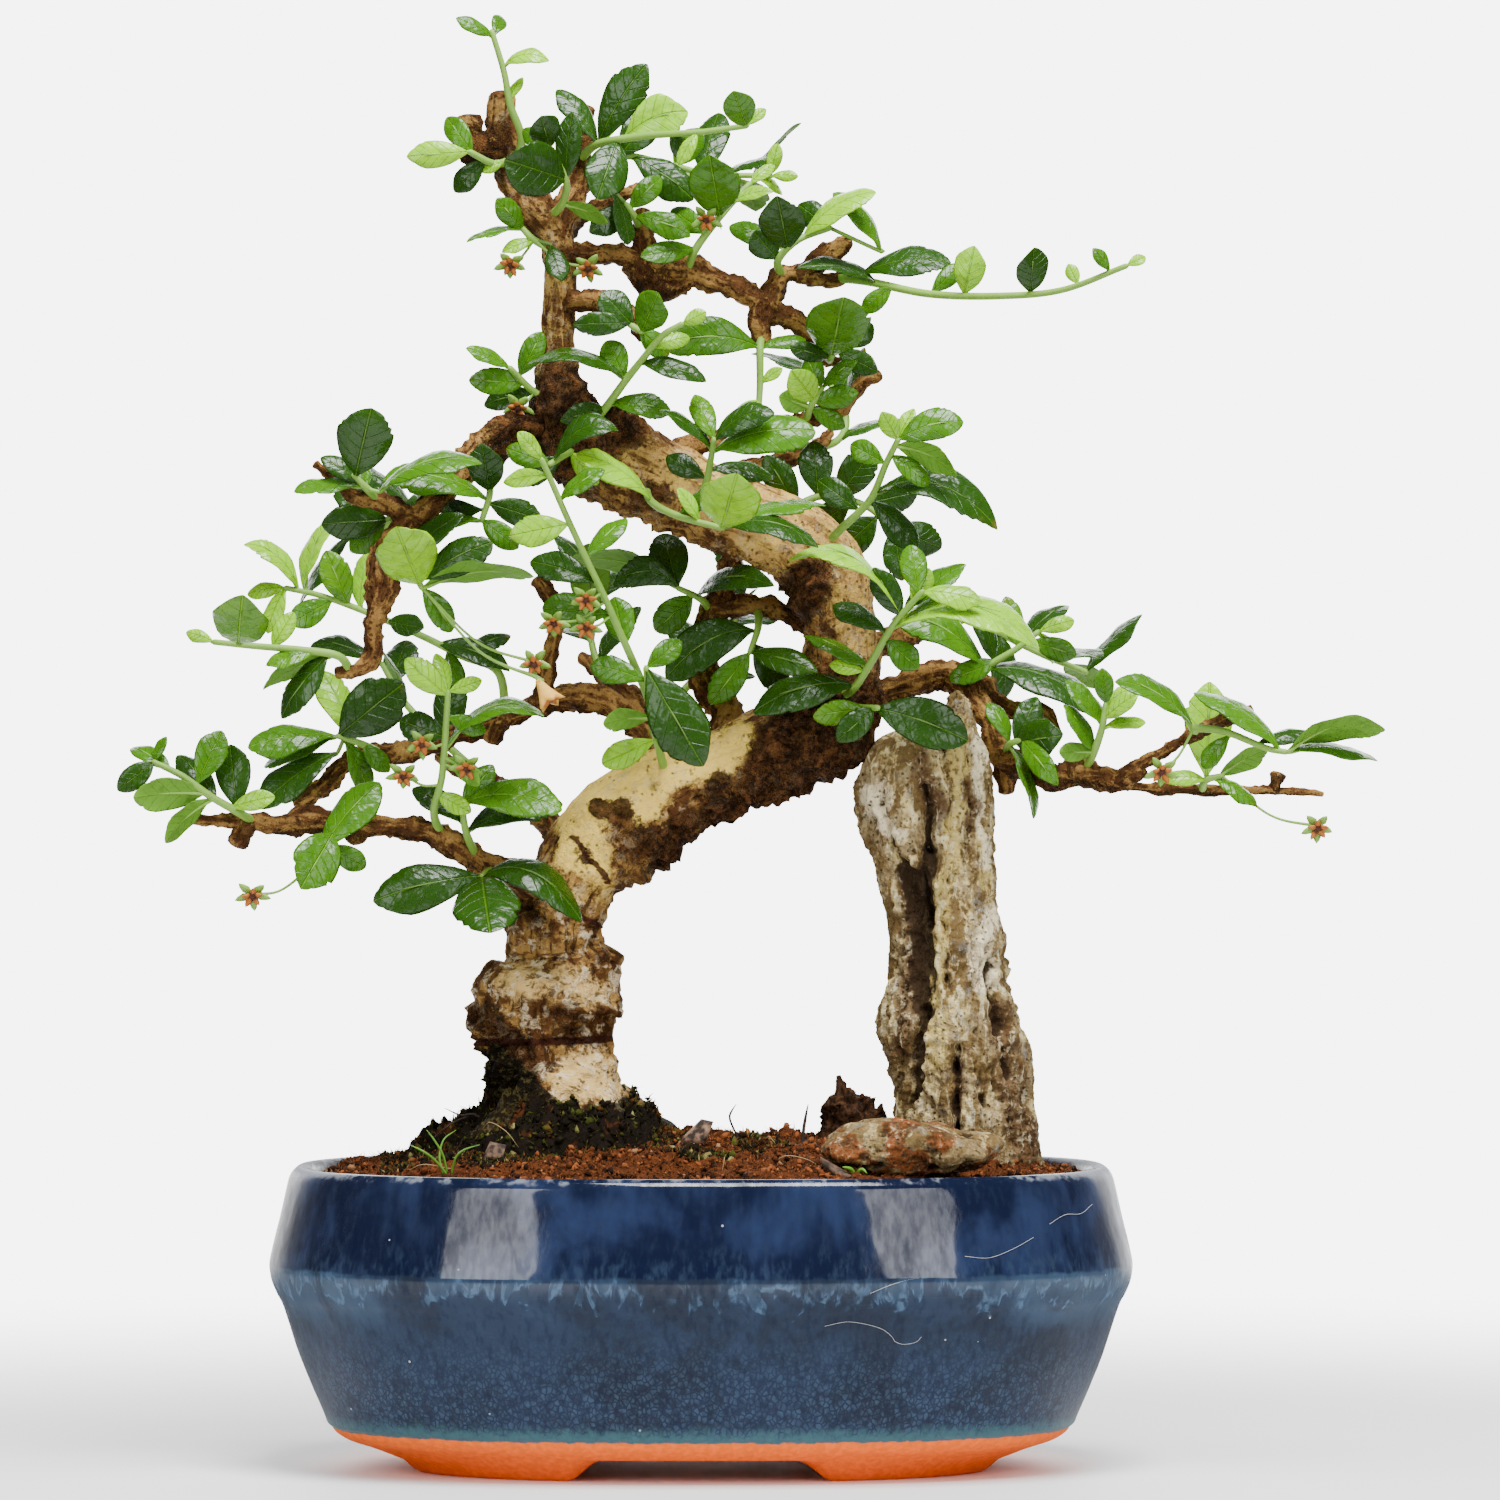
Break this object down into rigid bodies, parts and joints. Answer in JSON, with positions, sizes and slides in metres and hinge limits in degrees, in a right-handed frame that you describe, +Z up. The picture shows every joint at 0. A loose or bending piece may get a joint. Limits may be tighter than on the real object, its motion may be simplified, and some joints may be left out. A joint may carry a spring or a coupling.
{
  "type": "fukien tea bonsai",
  "caption": "Informal upright bonsai tree with a bent trunk, small glossy leaves and a standing stone, planted in an oval glazed pot on cloud feet.",
  "frame": {"origin": "on the surface the pot stands on, in the middle of the whole part's width and depth", "axes": "+X to the viewer's right, +Y away from the viewer, +Z up; the front faces -Y"},
  "size_m": [0.3096, 0.164, 0.3604],
  "materials": {
    "glaze": "gloss",
    "mesh": "matte",
    "soil": "matte",
    "bark": "matte",
    "stone": "matte",
    "dead_wood": "matte",
    "leaf": "satin"
  },
  "bodies": {
    "root": {"pot": "glaze", "drain_screen_left": "mesh", "drain_screen_right": "mesh", "soil": "soil", "trunk": "bark", "standing_stone": "stone", "lying_stone": "stone", "root_stub": "dead_wood", "spray_apex": "leaf", "spray_apexBelow": "leaf", "spray_apexInner": "leaf", "spray_apexLeft": "leaf", "spray_apexMiddle": "leaf", "spray_apexRight": "leaf", "spray_apexShoulder": "leaf", "spray_apexStubTop": "leaf", "spray_backApex": "leaf", "spray_backLeft": "leaf", "spray_backMiddle": "leaf", "spray_backMiddleHigh": "leaf", "spray_backRight": "leaf", "spray_backUpper": "leaf", "spray_backUpperLeft": "leaf", "spray_behindArch": "leaf", "spray_behindTrunk": "leaf", "spray_centreDark": "leaf", "spray_centreFront": "leaf", "spray_centreLeft": "leaf", "spray_centreTop": "leaf", "spray_innerLeft": "leaf", "spray_innerShoot": "leaf", "spray_leftArcher": "leaf", "spray_leftBud": "leaf", "spray_leftFar": "leaf", "spray_leftHeart": "leaf", "spray_leftLowest": "leaf", "spray_leftPair": "leaf", "spray_leftReach": "leaf", "spray_leftShoulder": "leaf", "spray_leftToothed": "leaf", "spray_leftTop": "leaf", "spray_leftUnder": "leaf", "spray_leftUpright": "leaf", "spray_longShoot": "leaf", "spray_rightBuds": "leaf", "spray_rightCrest": "leaf", "spray_rightInner": "leaf", "spray_rightLeaves": "leaf", "spray_rightLowLeaves": "leaf", "spray_rightMiddle": "leaf", "spray_shootMiddle": "leaf", "spray_stoneTopLeaf": "leaf", "spray_trunkFront": "leaf", "spray_trunkLeft": "leaf", "spray_twigCut": "leaf", "spray_upperLong": "leaf", "spray_upperLow": "leaf", "spray_upperRound": "leaf", "spray_upperTip": "leaf"}
  },
  "joints": []
}
